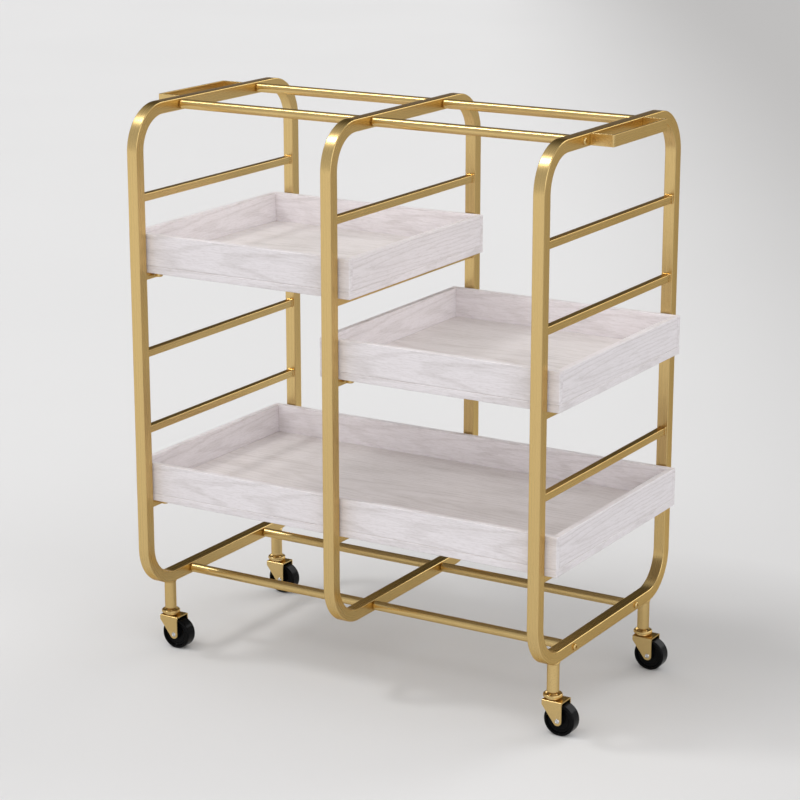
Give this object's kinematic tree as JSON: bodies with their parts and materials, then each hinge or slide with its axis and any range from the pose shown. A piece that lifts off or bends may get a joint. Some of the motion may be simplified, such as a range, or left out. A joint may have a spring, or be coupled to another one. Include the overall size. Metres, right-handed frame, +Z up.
{
  "type": "three-tier service cart",
  "caption": "Rolling service cart: rounded square-tube hoops joined by rods, wooden trays resting on rungs at staggered heights, end handles and swivel casters for carrying food and drink.",
  "frame": {"origin": "on the floor, under the middle of the cart's outer box", "axes": "+X along the cart toward its right end, +Y across it from the front to the back, +Z up"},
  "size_m": [0.807, 0.455, 0.904],
  "materials": {
    "gold_metal": "satin gold",
    "zinc_steel": "bright zinc",
    "black_plastic": "semi-gloss black",
    "washed_wood": "whitewashed matt"
  },
  "bodies": {
    "frame": {"hoop_left": "gold_metal", "rungs_left": "gold_metal", "hoop_middle": "gold_metal", "rungs_middle": "gold_metal", "hoop_right": "gold_metal", "rungs_right": "gold_metal", "rod_top_front_left": "gold_metal", "rod_top_front_right": "gold_metal", "rod_top_back_left": "gold_metal", "rod_top_back_right": "gold_metal", "rod_bottom_front_left": "gold_metal", "rod_bottom_front_right": "gold_metal", "rod_bottom_back_left": "gold_metal", "rod_bottom_back_right": "gold_metal", "handle_left": "gold_metal", "handle_right": "gold_metal", "end_bolts": "gold_metal", "joining_studs": "zinc_steel", "leg_front_left": "gold_metal", "caster_front_left_stem": "gold_metal", "caster_front_left_washer": "black_plastic", "leg_front_right": "gold_metal", "caster_front_right_stem": "gold_metal", "caster_front_right_washer": "black_plastic", "leg_back_left": "gold_metal", "caster_back_left_stem": "gold_metal", "caster_back_left_washer": "black_plastic", "leg_back_right": "gold_metal", "caster_back_right_stem": "gold_metal", "caster_back_right_washer": "black_plastic"},
    "caster_front_left": {"caster_front_left_fork": "gold_metal", "caster_front_left_axle": "zinc_steel"},
    "wheel_front_left": {"caster_front_left_wheel": "black_plastic"},
    "caster_front_right": {"caster_front_right_fork": "gold_metal", "caster_front_right_axle": "zinc_steel"},
    "wheel_front_right": {"caster_front_right_wheel": "black_plastic"},
    "caster_back_left": {"caster_back_left_fork": "gold_metal", "caster_back_left_axle": "zinc_steel"},
    "wheel_back_left": {"caster_back_left_wheel": "black_plastic"},
    "caster_back_right": {"caster_back_right_fork": "gold_metal", "caster_back_right_axle": "zinc_steel"},
    "wheel_back_right": {"caster_back_right_wheel": "black_plastic"},
    "tray_upper": {"tray_upper_panel": "washed_wood", "tray_upper_front": "washed_wood", "tray_upper_back": "washed_wood", "tray_upper_left": "washed_wood", "tray_upper_right": "washed_wood", "tray_upper_pegs": "gold_metal"},
    "tray_middle": {"tray_middle_panel": "washed_wood", "tray_middle_front": "washed_wood", "tray_middle_back": "washed_wood", "tray_middle_left": "washed_wood", "tray_middle_right": "washed_wood", "tray_middle_pegs": "gold_metal"},
    "tray_lower": {"tray_lower_panel": "washed_wood", "tray_lower_front": "washed_wood", "tray_lower_back": "washed_wood", "tray_lower_left": "washed_wood", "tray_lower_right": "washed_wood", "tray_lower_pegs": "gold_metal"}
  },
  "joints": [
    {"name": "swivel_front_left", "type": "hinge", "parent": "frame", "child": "caster_front_left", "pos_m": [-0.355, -0.157, 0.056], "axis": [0, 0, 1], "continuous": true},
    {"name": "roll_front_left", "type": "hinge", "parent": "caster_front_left", "child": "wheel_front_left", "pos_m": [-0.3395, -0.157, 0.0255], "axis": [0, 1, 0], "continuous": true},
    {"name": "swivel_front_right", "type": "hinge", "parent": "frame", "child": "caster_front_right", "pos_m": [0.355, -0.157, 0.056], "axis": [0, 0, 1], "continuous": true},
    {"name": "roll_front_right", "type": "hinge", "parent": "caster_front_right", "child": "wheel_front_right", "pos_m": [0.3705, -0.157, 0.0255], "axis": [0, 1, 0], "continuous": true},
    {"name": "swivel_back_left", "type": "hinge", "parent": "frame", "child": "caster_back_left", "pos_m": [-0.355, 0.157, 0.056], "axis": [0, 0, 1], "continuous": true},
    {"name": "roll_back_left", "type": "hinge", "parent": "caster_back_left", "child": "wheel_back_left", "pos_m": [-0.3395, 0.157, 0.0255], "axis": [0, 1, 0], "continuous": true},
    {"name": "swivel_back_right", "type": "hinge", "parent": "frame", "child": "caster_back_right", "pos_m": [0.355, 0.157, 0.056], "axis": [0, 0, 1], "continuous": true},
    {"name": "roll_back_right", "type": "hinge", "parent": "caster_back_right", "child": "wheel_back_right", "pos_m": [0.3705, 0.157, 0.0255], "axis": [0, 1, 0], "continuous": true},
    {"name": "lift_upper", "type": "slide", "parent": "frame", "child": "tray_upper", "axis": [0, 0, 1], "range_m": [0, 0.05]},
    {"name": "lift_middle", "type": "slide", "parent": "frame", "child": "tray_middle", "axis": [0, 0, 1], "range_m": [0, 0.05]},
    {"name": "lift_lower", "type": "slide", "parent": "frame", "child": "tray_lower", "axis": [0, 0, 1], "range_m": [0, 0.05]}
  ]
}
